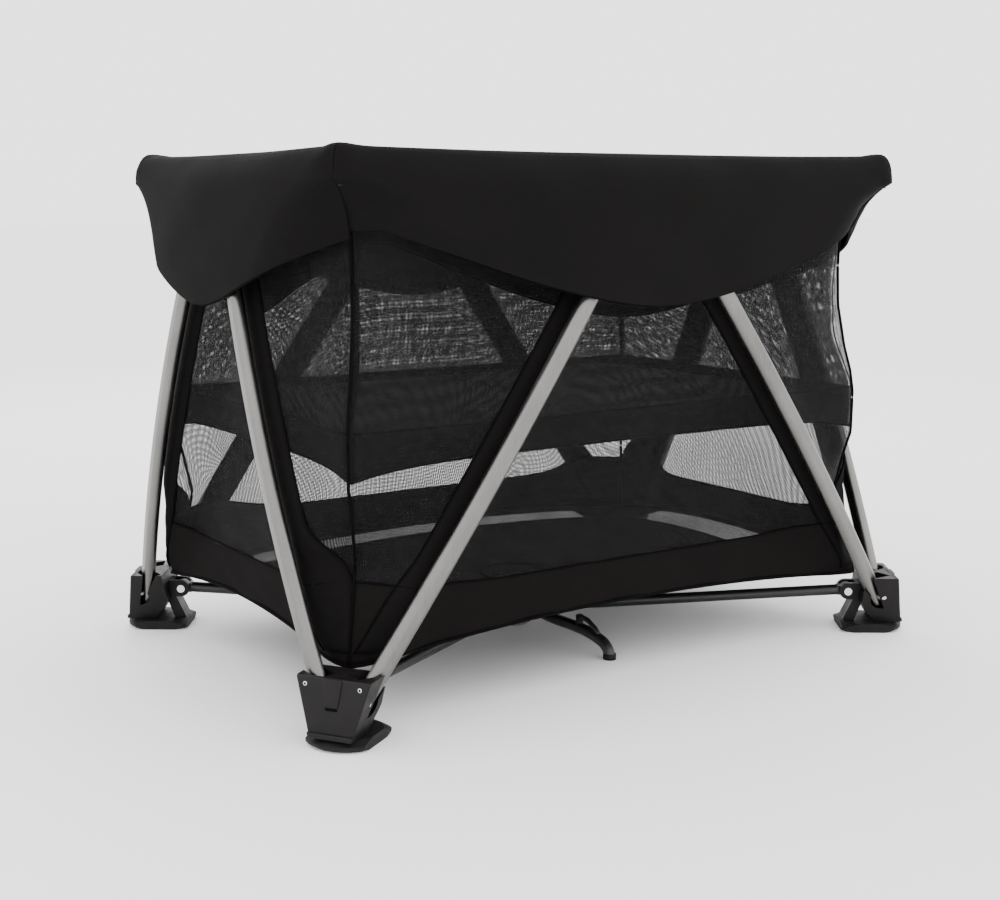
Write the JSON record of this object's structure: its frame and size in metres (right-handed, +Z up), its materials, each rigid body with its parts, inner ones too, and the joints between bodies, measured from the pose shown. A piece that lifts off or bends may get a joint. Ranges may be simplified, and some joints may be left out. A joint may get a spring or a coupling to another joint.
{
  "type": "playpen",
  "caption": "Folding rectangular playpen with bowed leg tubes, mesh walls, padded top rails, a hung bassinet with a mattress and a collapsing hub under its floor.",
  "frame": {"origin": "centre of the footprint, on the floor", "axes": "+Z up, X along the length, Y across the width, the front side at -Y"},
  "size_m": [1.1224, 0.8162, 0.788],
  "materials": {
    "leg_tube": "satin anodised",
    "steel_pins": "bright zinc plate",
    "foot_plastic": "fine moulded grain, dark grey",
    "foot_pad": "matte, grey",
    "black_tube": "black powder coat",
    "rail_tube": "black powder coat",
    "grey_plastic": "moulded, grey",
    "black_plastic": "moulded, black",
    "cover_cloth": "black woven polyester, padded",
    "wall_mesh": "black see-through mesh with solid woven bands",
    "floor_cloth": "black woven cloth",
    "bassinet_cloth": "black woven cloth with a mesh upper part",
    "mattress_cloth": "quilted woven cover, dark grey",
    "clip_plastic": "moulded, black"
  },
  "bodies": {
    "foot_front_left": {"foot_front_left": "foot_plastic", "pad_front_left": "foot_pad", "foot_pins_front_left": "steel_pins"},
    "arm_front_left": {"arm_front_left": "black_tube"},
    "centre_hub": {"centre_hub": "black_plastic", "hub_base": "grey_plastic", "hub_pins": "steel_pins", "floor_sheet": "floor_cloth"},
    "arm_front_right": {"arm_front_right": "black_tube"},
    "foot_front_right": {"foot_front_right": "foot_plastic", "pad_front_right": "foot_pad", "foot_pins_front_right": "steel_pins"},
    "arm_back_left": {"arm_back_left": "black_tube"},
    "foot_back_left": {"foot_back_left": "foot_plastic", "pad_back_left": "foot_pad", "foot_pins_back_left": "steel_pins"},
    "arm_back_right": {"arm_back_right": "black_tube"},
    "foot_back_right": {"foot_back_right": "foot_plastic", "pad_back_right": "foot_pad", "foot_pins_back_right": "steel_pins"},
    "centre_leg_front": {"centre_leg_front": "black_tube"},
    "centre_leg_back": {"centre_leg_back": "black_tube"},
    "leg_front_left": {"leg_front_left": "leg_tube"},
    "leg_front_right": {"leg_front_right": "leg_tube"},
    "leg_back_left": {"leg_back_left": "leg_tube"},
    "leg_back_right": {"leg_back_right": "leg_tube"},
    "leg_left_front": {"leg_left_front": "leg_tube"},
    "leg_left_back": {"leg_left_back": "leg_tube"},
    "leg_right_front": {"leg_right_front": "leg_tube"},
    "leg_right_back": {"leg_right_back": "leg_tube"},
    "mid_hub_front": {"mid_hub_front": "black_plastic", "cover_front": "cover_cloth", "wall_front": "wall_mesh"},
    "mid_hub_back": {"mid_hub_back": "black_plastic", "cover_back": "cover_cloth", "wall_back": "wall_mesh"},
    "mid_hub_left": {"mid_hub_left": "black_plastic", "cover_left": "cover_cloth", "wall_left": "wall_mesh"},
    "mid_hub_right": {"mid_hub_right": "black_plastic", "cover_right": "cover_cloth", "wall_right": "wall_mesh"},
    "rail_front_left": {"rail_front_left": "rail_tube", "corner_front_left": "black_plastic"},
    "rail_front_right": {"rail_front_right": "rail_tube", "corner_front_right": "black_plastic"},
    "rail_back_left": {"rail_back_left": "rail_tube", "corner_back_left": "black_plastic"},
    "rail_back_right": {"rail_back_right": "rail_tube", "corner_back_right": "black_plastic"},
    "rail_left_front": {"rail_left_front": "rail_tube"},
    "rail_left_back": {"rail_left_back": "rail_tube"},
    "rail_right_front": {"rail_right_front": "rail_tube"},
    "rail_right_back": {"rail_right_back": "rail_tube"},
    "bassinet": {"bassinet": "bassinet_cloth", "bassinet_clips": "clip_plastic"},
    "mattress": {"mattress": "mattress_cloth"},
    "fold_handle": {"fold_handle": "black_plastic"}
  },
  "joints": [
    {"name": "fold", "type": "hinge", "parent": "foot_front_left", "child": "arm_front_left", "pos_m": [-0.47011, -0.32127, 0.065], "axis": [0.5642, -0.8256, 0], "range_deg": [0, 86], "deforming": ["cover_front", "cover_back", "cover_left", "cover_right", "wall_front", "wall_back", "wall_left", "wall_right", "floor_sheet", "bassinet", "mattress", "bassinet_clips"]},
    {"name": "hub_level", "type": "hinge", "parent": "arm_front_left", "child": "centre_hub", "pos_m": [-0.03715, -0.02539, 0.033], "axis": [0.5642, -0.8256, 0], "range_deg": [-86.5, 0]},
    {"name": "arm_front_right_turn", "type": "hinge", "parent": "centre_hub", "child": "arm_front_right", "pos_m": [0.03715, -0.02539, 0.033], "axis": [0.5642, 0.8256, 0], "range_deg": [0, 86.5]},
    {"name": "foot_front_right_level", "type": "hinge", "parent": "arm_front_right", "child": "foot_front_right", "pos_m": [0.47011, -0.32127, 0.065], "axis": [0.5642, 0.8256, 0], "range_deg": [-86.5, 0]},
    {"name": "arm_back_left_turn", "type": "hinge", "parent": "centre_hub", "child": "arm_back_left", "pos_m": [-0.03715, 0.02539, 0.033], "axis": [-0.5642, -0.8256, 0], "range_deg": [0, 86.5]},
    {"name": "foot_back_left_level", "type": "hinge", "parent": "arm_back_left", "child": "foot_back_left", "pos_m": [-0.47011, 0.32127, 0.065], "axis": [-0.5642, -0.8256, 0], "range_deg": [-86.5, 0]},
    {"name": "arm_back_right_turn", "type": "hinge", "parent": "centre_hub", "child": "arm_back_right", "pos_m": [0.03715, 0.02539, 0.033], "axis": [-0.5642, 0.8256, 0], "range_deg": [0, 86.5]},
    {"name": "foot_back_right_level", "type": "hinge", "parent": "arm_back_right", "child": "foot_back_right", "pos_m": [0.47011, 0.32127, 0.065], "axis": [-0.5642, 0.8256, 0], "range_deg": [-86.5, 0]},
    {"name": "centre_leg_front_turn", "type": "hinge", "parent": "centre_hub", "child": "centre_leg_front", "pos_m": [0.016, -0.042, 0.033], "axis": [1, 0, 0], "range_deg": [0, 73.6]},
    {"name": "centre_leg_back_turn", "type": "hinge", "parent": "centre_hub", "child": "centre_leg_back", "pos_m": [-0.016, 0.042, 0.033], "axis": [-1, 0, 0], "range_deg": [0, 73.6]},
    {"name": "leg_front_left_turn", "type": "hinge", "parent": "foot_front_left", "child": "leg_front_left", "pos_m": [-0.491, -0.369, 0.06], "axis": [0, -1, 0], "range_deg": [0, 31.11]},
    {"name": "leg_front_right_turn", "type": "hinge", "parent": "foot_front_right", "child": "leg_front_right", "pos_m": [0.491, -0.369, 0.06], "axis": [0, 1, 0], "range_deg": [0, 31.11]},
    {"name": "leg_back_left_turn", "type": "hinge", "parent": "foot_back_left", "child": "leg_back_left", "pos_m": [-0.491, 0.369, 0.06], "axis": [0, -1, 0], "range_deg": [0, 31.11]},
    {"name": "leg_back_right_turn", "type": "hinge", "parent": "foot_back_right", "child": "leg_back_right", "pos_m": [0.491, 0.369, 0.06], "axis": [0, 1, 0], "range_deg": [0, 31.11]},
    {"name": "leg_left_front_turn", "type": "hinge", "parent": "foot_front_left", "child": "leg_left_front", "pos_m": [-0.53, -0.331, 0.06], "axis": [1, 0, 0], "range_deg": [0, 22.56]},
    {"name": "leg_left_back_turn", "type": "hinge", "parent": "foot_back_left", "child": "leg_left_back", "pos_m": [-0.53, 0.331, 0.06], "axis": [-1, 0, 0], "range_deg": [0, 22.56]},
    {"name": "leg_right_front_turn", "type": "hinge", "parent": "foot_front_right", "child": "leg_right_front", "pos_m": [0.53, -0.331, 0.06], "axis": [1, 0, 0], "range_deg": [0, 22.56]},
    {"name": "leg_right_back_turn", "type": "hinge", "parent": "foot_back_right", "child": "leg_right_back", "pos_m": [0.53, 0.331, 0.06], "axis": [-1, 0, 0], "range_deg": [0, 22.56]},
    {"name": "mid_hub_front_level", "type": "hinge", "parent": "leg_front_left", "child": "mid_hub_front", "pos_m": [-0.06, -0.369, 0.681], "axis": [0, -1, 0], "range_deg": [-31.11, 0]},
    {"name": "mid_hub_back_level", "type": "hinge", "parent": "leg_back_right", "child": "mid_hub_back", "pos_m": [0.06, 0.369, 0.681], "axis": [0, 1, 0], "range_deg": [-31.11, 0]},
    {"name": "mid_hub_left_level", "type": "hinge", "parent": "leg_left_back", "child": "mid_hub_left", "pos_m": [-0.53, 0.048, 0.69], "axis": [-1, 0, 0], "range_deg": [-22.56, 0]},
    {"name": "mid_hub_right_level", "type": "hinge", "parent": "leg_right_front", "child": "mid_hub_right", "pos_m": [0.53, -0.048, 0.69], "axis": [1, 0, 0], "range_deg": [-22.56, 0]},
    {"name": "rail_front_left_turn", "type": "hinge", "parent": "mid_hub_front", "child": "rail_front_left", "pos_m": [-0.08, -0.335, 0.766], "axis": [0, -1, 0], "range_deg": [0, 86.5]},
    {"name": "rail_front_right_turn", "type": "hinge", "parent": "mid_hub_front", "child": "rail_front_right", "pos_m": [0.08, -0.335, 0.766], "axis": [0, 1, 0], "range_deg": [0, 86.5]},
    {"name": "rail_back_left_turn", "type": "hinge", "parent": "mid_hub_back", "child": "rail_back_left", "pos_m": [-0.08, 0.335, 0.766], "axis": [0, -1, 0], "range_deg": [0, 86.5]},
    {"name": "rail_back_right_turn", "type": "hinge", "parent": "mid_hub_back", "child": "rail_back_right", "pos_m": [0.08, 0.335, 0.766], "axis": [0, 1, 0], "range_deg": [0, 86.5]},
    {"name": "rail_left_front_turn", "type": "hinge", "parent": "mid_hub_left", "child": "rail_left_front", "pos_m": [-0.497, -0.02, 0.766], "axis": [1, 0, 0], "range_deg": [0, 86.5]},
    {"name": "rail_left_back_turn", "type": "hinge", "parent": "mid_hub_left", "child": "rail_left_back", "pos_m": [-0.497, 0.02, 0.766], "axis": [-1, 0, 0], "range_deg": [0, 86.5]},
    {"name": "rail_right_front_turn", "type": "hinge", "parent": "mid_hub_right", "child": "rail_right_front", "pos_m": [0.497, -0.02, 0.766], "axis": [1, 0, 0], "range_deg": [0, 86.5]},
    {"name": "rail_right_back_turn", "type": "hinge", "parent": "mid_hub_right", "child": "rail_right_back", "pos_m": [0.497, 0.02, 0.766], "axis": [-1, 0, 0], "range_deg": [0, 86.5]},
    {"name": "bassinet_lift", "type": "slide", "parent": "centre_hub", "child": "bassinet", "axis": [0, 0, 1], "range_m": [0, 0.5]},
    {"name": "mattress_lift", "type": "slide", "parent": "bassinet", "child": "mattress", "axis": [0, 0, 1], "range_m": [0, 0.45]},
    {"name": "fold_handle_pull", "type": "slide", "parent": "centre_hub", "child": "fold_handle", "axis": [0, 0, 1], "range_m": [0, 0.022], "stiffness_N_per_m": 200}
  ],
  "couplings": [
    {"joint": "hub_level", "follows": "fold", "ratio": -1},
    {"joint": "arm_front_right_turn", "follows": "fold", "ratio": 1},
    {"joint": "foot_front_right_level", "follows": "fold", "ratio": -1},
    {"joint": "arm_back_left_turn", "follows": "fold", "ratio": 1},
    {"joint": "foot_back_left_level", "follows": "fold", "ratio": -1},
    {"joint": "arm_back_right_turn", "follows": "fold", "ratio": 1},
    {"joint": "foot_back_right_level", "follows": "fold", "ratio": -1},
    {"joint": "centre_leg_front_turn", "follows": "fold", "ratio": 0.85},
    {"joint": "centre_leg_back_turn", "follows": "fold", "ratio": 0.85},
    {"joint": "leg_front_left_turn", "follows": "fold", "ratio": 0.35596},
    {"joint": "leg_front_right_turn", "follows": "fold", "ratio": 0.35596},
    {"joint": "leg_back_left_turn", "follows": "fold", "ratio": 0.35596},
    {"joint": "leg_back_right_turn", "follows": "fold", "ratio": 0.35596},
    {"joint": "leg_left_front_turn", "follows": "fold", "ratio": 0.25651},
    {"joint": "leg_left_back_turn", "follows": "fold", "ratio": 0.25651},
    {"joint": "leg_right_front_turn", "follows": "fold", "ratio": 0.25651},
    {"joint": "leg_right_back_turn", "follows": "fold", "ratio": 0.25651},
    {"joint": "mid_hub_front_level", "follows": "fold", "ratio": -0.35596},
    {"joint": "mid_hub_back_level", "follows": "fold", "ratio": -0.35596},
    {"joint": "mid_hub_left_level", "follows": "fold", "ratio": -0.25651},
    {"joint": "mid_hub_right_level", "follows": "fold", "ratio": -0.25651},
    {"joint": "rail_front_left_turn", "follows": "fold", "ratio": 1},
    {"joint": "rail_front_right_turn", "follows": "fold", "ratio": 1},
    {"joint": "rail_back_left_turn", "follows": "fold", "ratio": 1},
    {"joint": "rail_back_right_turn", "follows": "fold", "ratio": 1},
    {"joint": "rail_left_front_turn", "follows": "fold", "ratio": 1},
    {"joint": "rail_left_back_turn", "follows": "fold", "ratio": 1},
    {"joint": "rail_right_front_turn", "follows": "fold", "ratio": 1},
    {"joint": "rail_right_back_turn", "follows": "fold", "ratio": 1}
  ]
}
